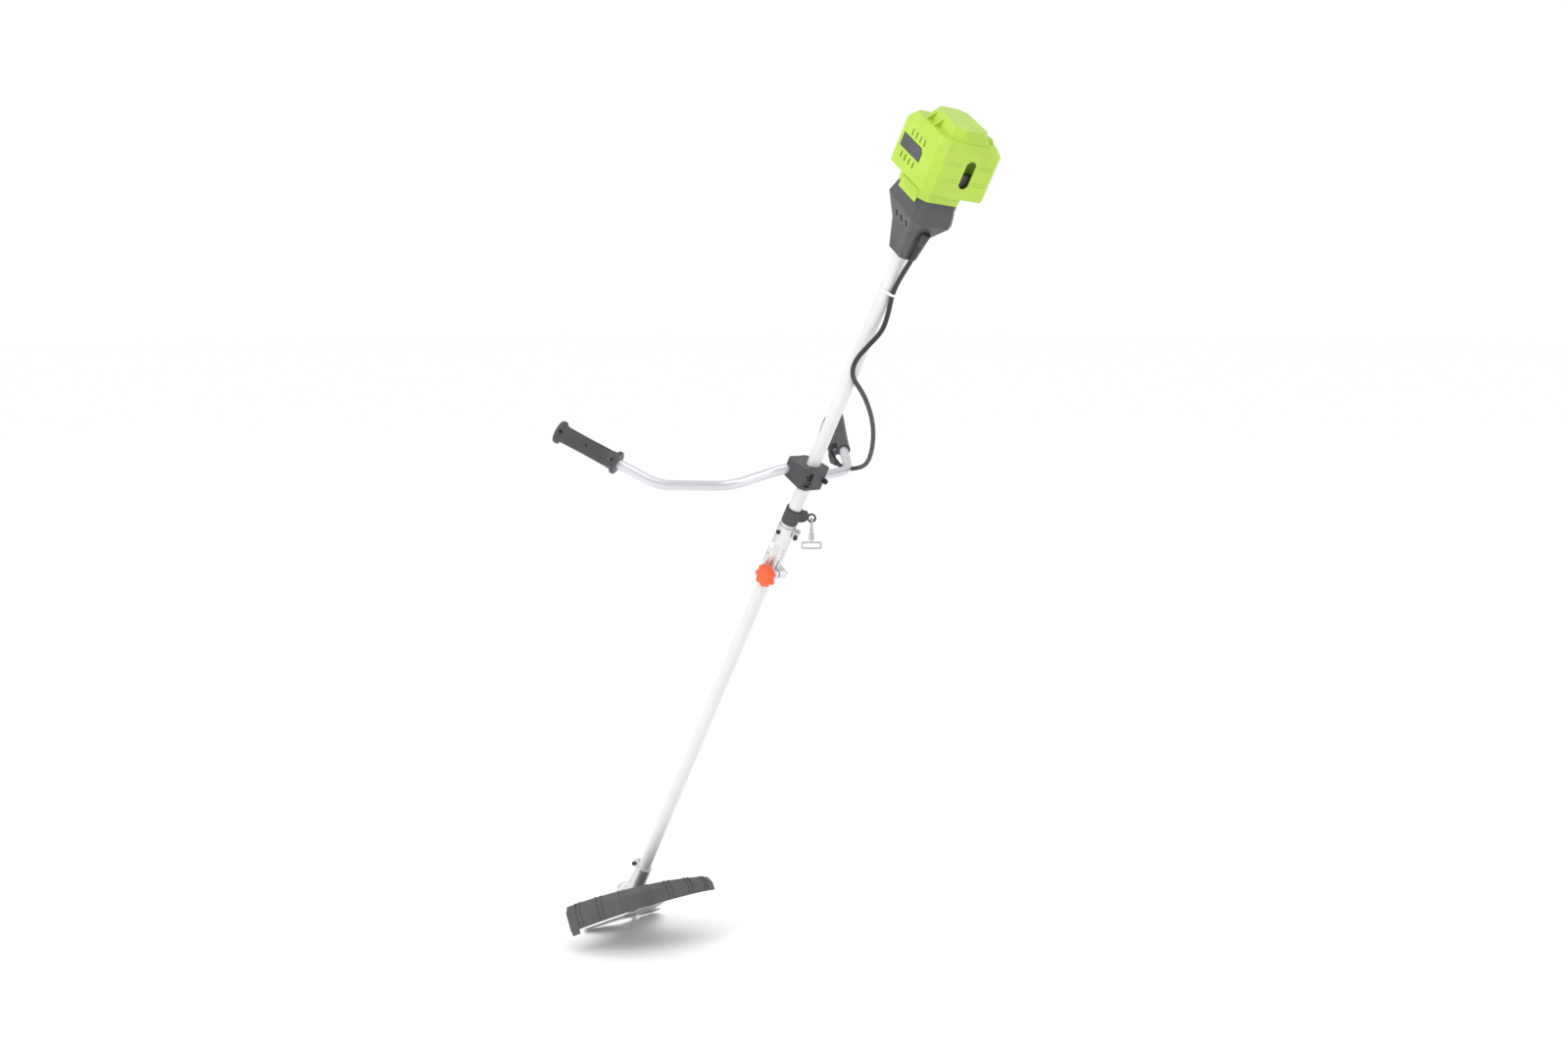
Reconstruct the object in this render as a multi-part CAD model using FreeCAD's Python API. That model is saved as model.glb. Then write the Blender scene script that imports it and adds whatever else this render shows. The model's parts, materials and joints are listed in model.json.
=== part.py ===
"""Cordless brush cutter with a bull-horn handlebar, in millimetres.

Everything is modelled in the tool frame: X to the operator's right, Y out of the top side of the
shaft (the handlebar's side), Z along the shaft towards the motor, with the origin on the shaft's
axis at the handlebar clamp. STANCE then leans the whole tool by LEAN and moves the harness
eyelet to the origin, so that the exported frame has +Z up.
"""
import FreeCAD, Part
import math
import os

os.makedirs("parts", exist_ok=True)


def vec(x, y, z):
    return FreeCAD.Vector(x, y, z)


# ---------------------------------------------------------------- driving dimensions

LEAN = 31.0                 # shaft's lean from the vertical, in degrees
POWER_HEAD_TURN = -12.0     # power head turned about the shaft

TUBE_R = 13.0
TUBE_WALL = 1.5
TUBE_TOP = 500.0
TUBE_SPLIT = -150.0         # the upper tube ends here, inside the coupler
SPLIT_GAP = 1.0
SHAFT_R = 4.0
RUNNING = 0.05              # radial clearance of running fits

# power head, in its own frame turned about the shaft
HOOD_X0, HOOD_X1 = -62.0, 70.0
HOOD_Y0, HOOD_Y1 = -76.0, 69.0
HOOD_RIM, HOOD_SHOULDER, HOOD_BEVEL, HOOD_TOP = 628.0, 712.0, 726.0, 746.0
HOOD_CORNER = 13.0
HOOD_WALL = 3.0
NECK_X, NECK_Y = 44.0, 52.0
NECK_Z0, NECK_Z1 = 604.0, 640.0
FLOOR_T = 4.0
BAY_FLOOR = 636.0           # top face of the tray that the battery slides over
HOUSING_WALL = 3.0
HOUSING_SEAM = 0.0          # x of the joint between the two housing halves
HOUSING_FOOT, HOUSING_WAIST, HOUSING_BELLY, HOUSING_RIM = 482.0, 532.0, 570.0, 604.0
BELLY_SLOPE = 0.11          # the belly's edge rises towards +Y
MOTOR_Z0, MOTOR_Z1 = 570.0, 602.0
STATOR_R, STATOR_BORE, ROTOR_R = 34.0, 20.0, 19.4
BEARING_R, BEARING_W = 11.0, 7.0

# handlebar
BAR_R, BAR_WALL = 9.5, 1.6
BAR_Y, BAR_Z = 32.0, -13.0
BAR_INNER_BEND = (42.0, BAR_Y, BAR_Z)
BAR_MID_BEND = (95.0, 93.0, -92.0)
BAR_OUTER_BEND = (246.0, 124.0, -100.0)
BAR_END = (358.0, 314.0, -100.0)
BAR_BEND_R = 40.0
GRIP_LENGTH = 134.0
GRIP_R, GRIP_FLANGE_R = 17.0, 23.0

# stations along the shaft
CLAMP_X0, CLAMP_X1 = -30.0, 28.0
CLAMP_Y0, CLAMP_SPLIT, CLAMP_Y1 = -24.0, 17.0, 46.0
CLAMP_BOTTOM, CLAMP_FRONT_TOP, CLAMP_BACK_TOP = -30.0, 21.0, 6.0
CLAMP_BOLT_X, CLAMP_BOLT_Z = (-22.0, 20.0), -6.0
HARNESS_Z0, HARNESS_Z1 = -120.0, -86.0
HARNESS_R = 16.8
EYELET_REACH, EYELET_Z = 39.0, -99.0
EYELET_TURN = -30.0         # the arm's direction about the shaft, from +X
COUPLER_Z0, COUPLER_Z1 = -258.0, -128.0
LOCATING_SCREW_Z = -142.0
PIN_Z = -192.0              # the snap button that holds the lower tube
KNOB_Z, KNOB_Y = -228.0, -25.0
GEAR_CENTRE_Z = -1155.0     # where the shaft's and the spindle's axes cross

# gear head, in its own frame: Z up the spindle, -Y towards the operator
SPINDLE_TILT = 31.5         # angle between the shaft and the blade's plane
PINION_TEETH, OUTPUT_TEETH = 12, 16
GEAR_MODULE = 2.0
GEAR_FACE = 9.0
SPINDLE_R = 5.0
BLADE_R, BLADE_T, BLADE_Z = 116.0, 2.0, -31.5
BLADE_TEETH, BLADE_FIRST_TOOTH = 3, 28.0
GUARD_R, GUARD_RIM_Z, GUARD_WALL = 200.0, -39.0, 3.0
GUARD_START, GUARD_END = -78.0, 31.0   # from straight back, positive towards +X
GUARD_SLOPE = 0.08          # the deck falls towards +X
PAD_Z = -16.0               # top of the bracket that carries the guard
SPINDLE_BEARINGS = ((27.5, 35.5), (-15.0, -7.0))
SPINDLE_BEARING_R = 13.0
PINION_BEARINGS = ((30.0, 37.0), (38.0, 45.0))

# control handle, in its own frame: Z along the grip from the collar, X towards the lever
LOBE_Z0, LOBE_Z1, LOBE_OUT = 12.0, 46.0, 34.0
LEVER_PIVOT_X, LEVER_PIVOT_Z = 19.0, 118.0
LEVER_HALF = 6.5
LOCK_X, LOCK_Z = 24.0, 24.0
POWER_Z = 84.0
BOOT_X, BOOT_Y = 29.0, -14.0
HANDLE_R0, HANDLE_R1 = 13.5, 17.0

# carrier hook, in a hanging frame with Z up
HOOK_WIRE, HOOK_SPAN = 2.2, 13.0
HOOK_TOP, HOOK_TIP, GATE_Z, HOOK_BASE = -1.6, -14.5, -23.5, -28.0
LOOP_TURN = 82.0
LOOP_HALF, LOOP_HEIGHT, LOOP_BAR = 20.0, 15.0, 3.6

CABLE_R = 4.5
CAP_SCREW_LENGTH = 14.0

# the free cable's route, from the power head's gland to the control handle's boot
CABLE_ROUTE = [
    (-14.3, -45.0, 520.0), (-10.3, -35.0, 480.0), (-5.5, -23.0, 438.0), (-2.8, -18.6, 404.0),
    (5.0, -21.0, 368.0), (3.0, -27.0, 332.0), (-22.0, -31.0, 303.0), (-35.0, -26.0, 268.0),
    (-24.0, -24.0, 232.0), (24.0, -19.0, 195.0), (71.0, -4.0, 155.0), (124.0, 14.0, 103.0),
    (176.0, 38.0, 44.0), (221.0, 64.0, -18.0), (258.0, 96.0, -69.0), (277.0, 134.0, -106.0),
    (277.0, 163.0, -126.0), (280.0, 190.0, -131.0),
]
TIE_POINT = 3               # index of the point where the tie holds the cable to the tube


# ---------------------------------------------------------------- frames

def frame(origin, z_axis, x_axis):
    """Placement whose local Z and X point along the given directions."""
    z = vec(*z_axis).normalize()
    x = vec(*x_axis)
    x = (x - z * x.dot(z)).normalize()
    y = z.cross(x)
    o = vec(*origin)
    matrix = FreeCAD.Matrix(x.x, y.x, z.x, o.x, x.y, y.y, z.y, o.y, x.z, y.z, z.z, o.z, 0, 0, 0, 1)
    return FreeCAD.Placement(matrix)


def turned(angle):
    return FreeCAD.Placement(vec(0, 0, 0), FreeCAD.Rotation(vec(0, 0, 1), angle))


TOOL = FreeCAD.Placement()
HEAD = turned(POWER_HEAD_TURN)
ARM = turned(EYELET_TURN)
TILT = math.radians(SPINDLE_TILT)
GEAR = frame((0, 0, GEAR_CENTRE_Z), (0, math.cos(TILT), math.sin(TILT)), (1, 0, 0))
GEAR_SHAFT = vec(0, -math.cos(TILT), math.sin(TILT))   # the shaft's direction in the gear frame

EYELET = ARM.multVec(vec(EYELET_REACH, 0, EYELET_Z))
STANCE = FreeCAD.Placement(vec(0, 0, 0), FreeCAD.Rotation(vec(1, 0, 0), LEAN)).multiply(
    FreeCAD.Placement(EYELET * -1, FreeCAD.Rotation()))
DOWN = FreeCAD.Rotation(vec(1, 0, 0), -LEAN).multVec(vec(0, 0, -1))   # gravity in the tool frame

GRIP_DIRECTION = (vec(*BAR_END) - vec(*BAR_OUTER_BEND)).normalize()
RIGHT_GRIP_START = vec(*BAR_END) - GRIP_DIRECTION * (GRIP_LENGTH - 2.0)
TRIGGER_SIDE = (-0.7066, 0.359, -0.609)      # from the handle's axis towards its trigger
HANDLE = frame(tuple(RIGHT_GRIP_START), tuple(GRIP_DIRECTION), TRIGGER_SIDE)
LEFT_GRIP = frame((-RIGHT_GRIP_START.x, RIGHT_GRIP_START.y, RIGHT_GRIP_START.z),
                  (-GRIP_DIRECTION.x, GRIP_DIRECTION.y, GRIP_DIRECTION.z), (0.5, 0.2, 0.8))

NODES = {}


def placed(shape, placement):
    copy = shape.copy()
    copy.Placement = placement.multiply(copy.Placement)
    return copy


def export(name, placement, *shapes):
    """Keep the node's solids, moved from their own frame to the tool frame."""
    solids = []
    for shape in shapes:
        solids.extend(placed(shape, placement).Solids)
    NODES[name] = solids


# ---------------------------------------------------------------- shape helpers

def rod(radius, start, end):
    axis = vec(*end) - vec(*start)
    return Part.makeCylinder(radius, axis.Length, vec(*start), axis)


def pipe(outer, inner, start, end):
    return rod(outer, start, end).cut(rod(inner, start, end))


def cone(radius_start, radius_end, start, end):
    axis = vec(*end) - vec(*start)
    return Part.makeCone(radius_start, radius_end, axis.Length, vec(*start), axis)


def box(low, high):
    size = vec(*high) - vec(*low)
    return Part.makeBox(size.x, size.y, size.z, vec(*low))


def polygon(points):
    return Part.makePolygon([vec(*p) for p in points] + [vec(*points[0])])


def prism(outline, z0, z1):
    """Extrude an outline of (x, y) points from z0 to z1."""
    face = Part.Face(polygon([(x, y, z0) for x, y in outline]))
    return face.extrude(vec(0, 0, z1 - z0))


def prism_y(outline, y0, y1):
    """Extrude an outline of (x, z) points from y0 to y1."""
    face = Part.Face(polygon([(x, y0, z) for x, z in outline]))
    return face.extrude(vec(0, y1 - y0, 0))


def prism_x(outline, x0, x1):
    """Extrude an outline of (y, z) points from x0 to x1."""
    face = Part.Face(polygon([(x0, y, z) for y, z in outline]))
    return face.extrude(vec(x1 - x0, 0, 0))


def chamfered(x0, x1, y0, y1, corner):
    """Rectangle with its four corners cut off."""
    return [(x0 + corner, y0), (x1 - corner, y0), (x1, y0 + corner), (x1, y1 - corner),
            (x1 - corner, y1), (x0 + corner, y1), (x0, y1 - corner), (x0, y0 + corner)]


def loft(sections):
    """Ruled solid through outlines given as (outline, z) or (outline, z, rise along Y)."""
    wires = []
    for outline, z, *rise in sections:
        slope = rise[0] if rise else 0.0
        wires.append(polygon([(x, y, z + slope * y) for x, y in outline]))
    return Part.makeLoft(wires, True, True)


def fuse(*shapes):
    return shapes[0].multiFuse(list(shapes[1:])).removeSplitter()


def cut(shape, *tools):
    return shape.cut(Part.makeCompound(list(tools)))


def revolve(outline, degrees=360.0, start=0.0):
    """Turn an outline of (radius, z) points about Z."""
    face = Part.Face(polygon([(r, 0, z) for r, z in outline]))
    face.rotate(vec(0, 0, 0), vec(0, 0, 1), start)
    return face.revolve(vec(0, 0, 0), vec(0, 0, 1), degrees)


def around(shape, count, centre=(0, 0, 0), axis=(0, 0, 1)):
    """Copies of a shape, evenly spaced about an axis."""
    copies = []
    for i in range(count):
        copy = shape.copy()
        copy.rotate(vec(*centre), vec(*axis), 360.0 * i / count)
        copies.append(copy)
    return copies


def volume(solid):
    return solid.Volume


def cap_screw(head_at, direction, length, radius=2.5):
    """Socket-head screw: its head's underside is at head_at and its shank runs along direction."""
    d = vec(*direction).normalize()
    head = vec(*head_at)
    top = head - d * (2.0 * radius)
    shank = rod(radius, tuple(head), tuple(head + d * length))
    cap = rod(1.75 * radius, tuple(top), tuple(head))
    socket = rod(0.9 * radius, tuple(top), tuple(top + d * radius))
    return fuse(shank, cap).cut(socket)


def tangent_path(points, radii):
    """Wire of straight runs joined by tangent arcs, one radius for each inner point."""
    corners = [vec(*p) for p in points]
    edges = []
    here = corners[0]
    for i in range(1, len(corners) - 1):
        back = (corners[i - 1] - corners[i]).normalize()
        ahead = (corners[i + 1] - corners[i]).normalize()
        half_turn = (math.pi - back.getAngle(ahead)) / 2
        reach = radii[i - 1] * math.tan(half_turn)
        centre_way = (back + ahead).normalize()
        centre = corners[i] + centre_way * (radii[i - 1] / math.cos(half_turn))
        a = corners[i] + back * reach
        b = corners[i] + ahead * reach
        middle = centre - centre_way * radii[i - 1]
        edges.append(Part.LineSegment(here, a).toShape())
        edges.append(Part.Arc(a, middle, b).toShape())
        here = b
    edges.append(Part.LineSegment(here, corners[-1]).toShape())
    return Part.Wire(edges)


def sweep(path, radius):
    """Solid rod of the given radius along a path."""
    start = path.Edges[0].Vertexes[0].Point
    direction = path.Edges[0].tangentAt(path.Edges[0].FirstParameter)
    section = Part.Wire(Part.Circle(start, direction, radius).toShape())
    return path.makePipeShell([section], True, False)


# ---------------------------------------------------------------- tubes and drive line

def tubes():
    bore = TUBE_R - TUBE_WALL
    upper = pipe(TUBE_R, bore, (0, 0, TUBE_SPLIT), (0, 0, TUBE_TOP))
    screw_hole = rod(2.5, (-20, 0, LOCATING_SCREW_Z), (0, 0, LOCATING_SCREW_Z))
    export("upper_tube", TOOL, upper.cut(screw_hole))
    lower_end = GEAR_CENTRE_Z + PINION_BEARINGS[1][1] + 1.0
    lower = pipe(TUBE_R, bore, (0, 0, lower_end), (0, 0, TUBE_SPLIT - SPLIT_GAP))
    pin_hole = rod(3.2, (-20, 0, PIN_Z), (0, 0, PIN_Z))
    export("lower_tube", TOOL, lower.cut(pin_hole))


def drive_line():
    joint_z0, joint_z1 = -166.0, -136.0
    split = (joint_z0 + joint_z1) / 2
    upper_end = MOTOR_Z0 - 18.0
    export("upper_drive_shaft", TOOL, rod(SHAFT_R, (0, 0, split), (0, 0, upper_end)))
    lower_end = GEAR_CENTRE_Z + PINION_BACK + 4.0
    export("lower_drive_shaft", TOOL, rod(SHAFT_R, (0, 0, lower_end), (0, 0, split - 0.5)))
    sleeve = pipe(7.5, SHAFT_R, (0, 0, joint_z0), (0, 0, joint_z1))
    coupling = pipe(7.5, SHAFT_R, (0, 0, upper_end - 14.0), (0, 0, upper_end + 9.0))
    export("shaft_sleeves", TOOL, sleeve, coupling)
    bushes = []
    for z in (440, 290, 120, -60, -320, -500, -680, -860, -1020):
        ring = pipe(TUBE_R - TUBE_WALL, SHAFT_R + RUNNING, (0, 0, z), (0, 0, z + 22))
        channel = rod(2.2, (8.2, 0, z - 1), (8.2, 0, z + 23))
        bushes.append(cut(ring, *around(channel, 6)))
    export("shaft_bushes", TOOL, *bushes)


# ---------------------------------------------------------------- power head

def hood_block(inset, top_inset):
    """The hood's outer form, or with an inset the form of the space inside it."""
    x0, x1, y0, y1 = HOOD_X0 + inset, HOOD_X1 - inset, HOOD_Y0 + inset, HOOD_Y1 - inset
    corner = HOOD_CORNER - 0.4 * inset
    body = chamfered(x0, x1, y0, y1, corner)
    bevel = chamfered(x0 + 11, x1 - 11, y0 + 11, y1 - 11, corner - 3)
    crown_low = chamfered(-36 + inset, 48 - inset, -64 + inset, 55 - inset, 14)
    crown_top = chamfered(-30 + inset, 36 - inset, -56 + inset, 41 - inset, 14)
    shoulder, top = HOOD_SHOULDER - top_inset, HOOD_BEVEL - top_inset
    lower = loft([(body, HOOD_RIM), (body, shoulder), (bevel, top)])
    crown = loft([(crown_low, top - 2.0), (crown_top, HOOD_TOP - top_inset)])
    return fuse(lower, crown)


def hood_ribs():
    """Gussets beside the crown on one side, and three bumps on the other."""
    ribs = []
    for y in (-6, 22):
        ribs.append(prism_y([(-54, 720), (-33, 722), (-30, 743)], y, y + 4))
    for y in (-44, -16, 12):
        ribs.append(prism_y([(38, 740), (44, 724), (61, 722), (54, 734)], y, y + 8))
    return ribs


def hood_openings():
    """Battery port, window, side slits and the engraved lines under the louvres."""
    openings = [box((HOOD_X0 + 12, HOOD_Y1 - 14, 643), (HOOD_X1 - 12, HOOD_Y1 + 6, 704)),
                prism_y(chamfered(-1, 19, 648, 700, 6), HOOD_Y0 - 5, HOOD_Y0 + 8)]
    for z, ys in ((697, (23, 8, -7, -22)), (651, (32, 17, 2, -13))):
        for y in ys:
            openings.append(box((HOOD_X0 - 5, y - 2.2, z - 6), (HOOD_X0 + 8, y + 2.2, z + 6)))
    for z in (660, 690):
        for x0, x1 in ((-38, -8), (26, 52)):
            for dz in (-2.5, 2.5):
                openings.append(box((x0, HOOD_Y0 - 1, z + dz - 0.6), (x1, HOOD_Y0 + 0.7, z + dz + 0.6)))
    return openings


def battery_hood():
    shell = fuse(hood_block(0, 0), *hood_ribs())
    shell = shell.cut(hood_block(HOOD_WALL, HOOD_WALL))
    plate_seat = box((HOOD_X0 - 1, -26, 662), (HOOD_X0 + 1.0, 47, 687))
    export("battery_hood", HEAD, cut(shell, plate_seat, *hood_openings()))
    outline = [(-25, 663), (46, 663), (46, 686), (-17, 686), (-25, 678)]
    export("hood_plate", HEAD, prism_x(outline, HOOD_X0 - 0.8, HOOD_X0 + 1.0))


def bay_tray():
    outer = chamfered(-NECK_X, NECK_X, -NECK_Y, NECK_Y - 2, 13)
    inner = chamfered(-NECK_X + 3, NECK_X - 3, -NECK_Y + 3, NECK_Y - 5, 12)
    wall = prism(outer, NECK_Z0, NECK_Z1).cut(prism(inner, NECK_Z0 - 1, NECK_Z1 + 1))
    rim = HOOD_WALL + 0.4
    floor_outline = chamfered(HOOD_X0 + rim, HOOD_X1 - rim, HOOD_Y0 + rim, HOOD_Y1 - rim, 12)
    plate = prism(floor_outline, BAY_FLOOR - FLOOR_T, BAY_FLOOR)
    tab = prism(chamfered(-NECK_X - 3, -NECK_X + 1, -37, 26, 1), NECK_Z0 - 9, NECK_Z0 + 14)
    rails = []
    for x0, x1, lip0, lip1 in ((-39.0, -33.0, -39.0, -29.0), (41.0, 47.0, 37.0, 47.0)):
        rails.append(box((x0, -52, BAY_FLOOR - 0.5), (x1, 54, BAY_FLOOR + 18)))
        rails.append(box((lip0, -52, BAY_FLOOR + 14), (lip1, 54, BAY_FLOOR + 18)))
    slot = box((-26, -48, 626), (26, -40, 642))
    bay = fuse(wall, plate, tab, *rails)
    export("bay_tray", HEAD, bay.cut(slot))


def terminal_block():
    xs = (-16, -3, 11, 24)
    block = box((-26, -68, BAY_FLOOR), (34, -54, BAY_FLOOR + 34))
    slots = [box((x - 3.5, -60, BAY_FLOOR + 8), (x + 3.5, -53, BAY_FLOOR + 30)) for x in xs]
    export("terminal_block", HEAD, cut(block, *slots))
    blades = [box((x - 0.5, -60, BAY_FLOOR + 9), (x + 0.5, -46, BAY_FLOOR + 26)) for x in xs]
    export("terminal_blades", HEAD, *blades)


def housing_form(inset):
    """Outlines of the housing's foot, waist, belly and rim."""
    foot = chamfered(-22 + inset, 16 - inset, -32 + inset, 22 - inset, 7)
    waist = chamfered(-28 + inset, 22 - inset, -40 + inset, 42 - inset, 10)
    belly = chamfered(-46 + inset, 42 - inset, -62 + inset, 62 - inset, 15)
    rim = chamfered(-42 + inset, 42 - inset, -50 + inset, 50 - inset, 13)
    return foot, waist, belly, rim


def motor_housing():
    foot, waist, belly, rim = housing_form(0)
    outer = loft([(foot, HOUSING_FOOT), (waist, HOUSING_WAIST), (belly, HOUSING_BELLY, BELLY_SLOPE),
                  (rim, HOUSING_RIM)])
    foot, waist, belly, rim = housing_form(HOUSING_WALL)
    inner = loft([(waist, HOUSING_WAIST + 3), (belly, HOUSING_BELLY + 1, BELLY_SLOPE),
                  (rim, HOUSING_RIM + 0.01)])
    screw_places = ((-24, 493), (26, 523), (-42, 589), (42, 589))
    head_x, length = 8.0, 24.0
    bosses = [rod(4.6, (-36, y, z), (36, y, z)) for y, z in screw_places[2:]]
    tools = [rod(TUBE_R, (0, 0, HOUSING_FOOT - 1), (0, 0, TUBE_TOP)),
             rod(9.5, (0, 0, TUBE_TOP - 1), (0, 0, HOUSING_WAIST + 6)),
             rod(5.6, (-4, -48, 528), (-4, -10, 560)),
             box((-50, -38, NECK_Z0 - 10), (-41, 27, NECK_Z0 + 1))]
    for y in (14, -6, -26):
        for x0, x1 in ((-60, -20), (20, 60)):
            tools.append(box((x0, y - 3, 543), (x1, y + 3, 554)))
    screws = []
    for y, z in screw_places:
        tools.append(rod(3.6, (head_x, y, z), (60, y, z)))
        tools.append(rod(1.8, (head_x - length, y, z), (60, y, z)))
        screws.append(cap_screw((head_x, y, z), (-1, 0, 0), length, 1.8))
    body = cut(fuse(outer.cut(inner), *bosses), *tools)
    left = body.common(box((-100, -100, 400), (HOUSING_SEAM, 100, 700)))
    right = body.common(box((HOUSING_SEAM, -100, 400), (100, 100, 700)))
    export("motor_housing_left", HEAD, max(left.Solids, key=volume))
    export("motor_housing_right", HEAD, max(right.Solids, key=volume))
    export("housing_screws", HEAD, *screws)


def motor():
    ring = pipe(STATOR_R, STATOR_R - 5, (0, 0, MOTOR_Z0), (0, 0, MOTOR_Z1))
    tooth = box((STATOR_BORE, -2.5, MOTOR_Z0 + 3), (STATOR_R - 3, 2.5, MOTOR_Z1 - 3))
    coil = box((STATOR_BORE + 2, -4.6, MOTOR_Z0 + 1), (STATOR_R - 6, 4.6, MOTOR_Z1 - 1))
    export("motor_stator", HEAD, fuse(ring, *around(tooth, 9), *around(coil, 9)))
    magnets = rod(ROTOR_R, (0, 0, MOTOR_Z0 + 4), (0, 0, MOTOR_Z1 - 4))
    grooves = around(box((ROTOR_R - 1, -0.8, MOTOR_Z0), (ROTOR_R + 1, 0.8, MOTOR_Z1)), 8)
    shaft = rod(SHAFT_R, (0, 0, MOTOR_Z0 - 17.5), (0, 0, MOTOR_Z1 + 12))
    export("motor_rotor", HEAD, fuse(cut(magnets, *grooves), shaft))


def motor_end_plates():
    low, high = MOTOR_Z0, MOTOR_Z1
    plates = []
    bearings = []
    for face, way in ((low, -1), (high, 1)):
        disc = rod(STATOR_R + 1, (0, 0, face), (0, 0, face + 4 * way))
        seat = rod(BEARING_R + 2, (0, 0, face), (0, 0, face + (BEARING_W + 1) * way))
        hole = rod(BEARING_R, (0, 0, face - way), (0, 0, face + (BEARING_W + 2) * way))
        vents = around(rod(4, (22, 0, face - way), (22, 0, face + 5 * way)), 6)
        plates.append(cut(fuse(disc, seat), hole, *vents))
        bearings.append(pipe(BEARING_R, SHAFT_R + RUNNING, (0, 0, face), (0, 0, face + BEARING_W * way)))
    export("motor_end_plates", HEAD, *plates)
    export("motor_bearings", HEAD, *bearings)


def control_board():
    board = box((-34, -42, 616), (34, 36, 617.6))
    parts = [rod(7, (-20, -25, 617), (-20, -25, 628)), rod(7, (0, -25, 617), (0, -25, 628)),
             box((10, -34, 617), (30, -14, 625))]
    for i in range(6):
        parts.append(box((-29 + 10 * i, 6, 617), (-22 + 10 * i, 18, 622)))
    export("control_board", HEAD, fuse(board, *parts))


def cable_gland():
    """Tapered sleeve where the cable leaves the housing's column, cut back to the housing."""
    start = HEAD.inverse().multVec(vec(*CABLE_ROUTE[0]))
    ahead = HEAD.inverse().multVec(vec(*CABLE_ROUTE[1]))
    d = (ahead - start).normalize()
    collar = start - d * 26.0
    sleeve = cone(8.0, 6.0, tuple(collar), tuple(start))
    rings = []
    for i in range(4):
        low, high = collar + d * (3 + 5 * i), collar + d * (5.2 + 5 * i)
        rings.append(pipe(8.2 - 0.4 * i, 4.0, tuple(low), tuple(high)))
    body = fuse(sleeve, *rings)
    body.Placement = HEAD.multiply(body.Placement)
    housing = NODES["motor_housing_left"] + NODES["motor_housing_right"]
    NODES["cable_gland"] = [max(cut(body, *housing).Solids, key=volume)]


# ---------------------------------------------------------------- handlebar

def handlebar():
    right = [BAR_INNER_BEND, BAR_MID_BEND, BAR_OUTER_BEND, BAR_END]
    left = [(-x, y, z) for x, y, z in reversed(right)]
    path = tangent_path(left + right, [60.0, 60.0, BAR_BEND_R, BAR_BEND_R, 60.0, 60.0])
    bar = sweep(path, BAR_R).cut(sweep(path, BAR_R - BAR_WALL))
    export("handlebar", TOOL, bar)


def handlebar_clamp():
    side = [(CLAMP_Y0, CLAMP_BOTTOM + 3), (CLAMP_Y1, CLAMP_BOTTOM), (CLAMP_Y1, CLAMP_BACK_TOP),
            (CLAMP_Y0, CLAMP_FRONT_TOP)]
    plan = prism(chamfered(CLAMP_X0, CLAMP_X1, CLAMP_Y0, CLAMP_Y1, 9), -60, 60)
    sloped_corner = prism_y([(-40, -40), (-40, CLAMP_BOTTOM + 16), (-20, -40)], -40, 60)
    tools = [sloped_corner, rod(TUBE_R, (0, 0, -60), (0, 0, 60)),
             rod(BAR_R, (-50, BAR_Y, BAR_Z), (50, BAR_Y, BAR_Z)),
             box((-31, -25, -20), (-13, -19, 12)),
             prism_y([(-2, -60), (2, -60), (2, 60), (-2, 60)], CLAMP_Y1 - 4, CLAMP_Y1 + 1)]
    bolts = []
    for x in CLAMP_BOLT_X:
        tools.append(rod(3.0, (x, -30, CLAMP_BOLT_Z), (x, CLAMP_SPLIT + 4, CLAMP_BOLT_Z)))
        bolts.append(cap_screw((x, CLAMP_Y0, CLAMP_BOLT_Z), (0, 1, 0), CLAMP_SPLIT + 4 - CLAMP_Y0, 3.0))
    seat = rod(7, (CLAMP_BOLT_X[0], CLAMP_Y0, CLAMP_BOLT_Z), (CLAMP_BOLT_X[0], -17, CLAMP_BOLT_Z))
    block = plan.common(prism_x(side, -50, 50)).cut(tools[3])
    block = cut(fuse(block, seat), *tools[:3], *tools[4:])
    export("clamp_base", TOOL, block.common(box((-60, -60, -60), (60, CLAMP_SPLIT, 60))))
    export("clamp_cap", TOOL, block.common(box((-60, CLAMP_SPLIT, -60), (60, 90, 60))))
    export("clamp_bolts", TOOL, *bolts)


def grip_profile():
    """Outer outline of the grip: a barrel between two flanges."""
    return [(BAR_R, 0), (GRIP_FLANGE_R - 1.5, 0), (GRIP_FLANGE_R, 1.5), (GRIP_FLANGE_R, 6.5),
            (GRIP_R + 1, 11), (GRIP_R, 20), (GRIP_R - 0.5, GRIP_LENGTH / 2), (GRIP_R, GRIP_LENGTH - 20),
            (GRIP_R + 1, GRIP_LENGTH - 12), (GRIP_FLANGE_R, GRIP_LENGTH - 8),
            (GRIP_FLANGE_R, GRIP_LENGTH - 1.5), (GRIP_FLANGE_R - 1.5, GRIP_LENGTH), (0, GRIP_LENGTH),
            (0, GRIP_LENGTH - 2), (BAR_R, GRIP_LENGTH - 2)]


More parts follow.
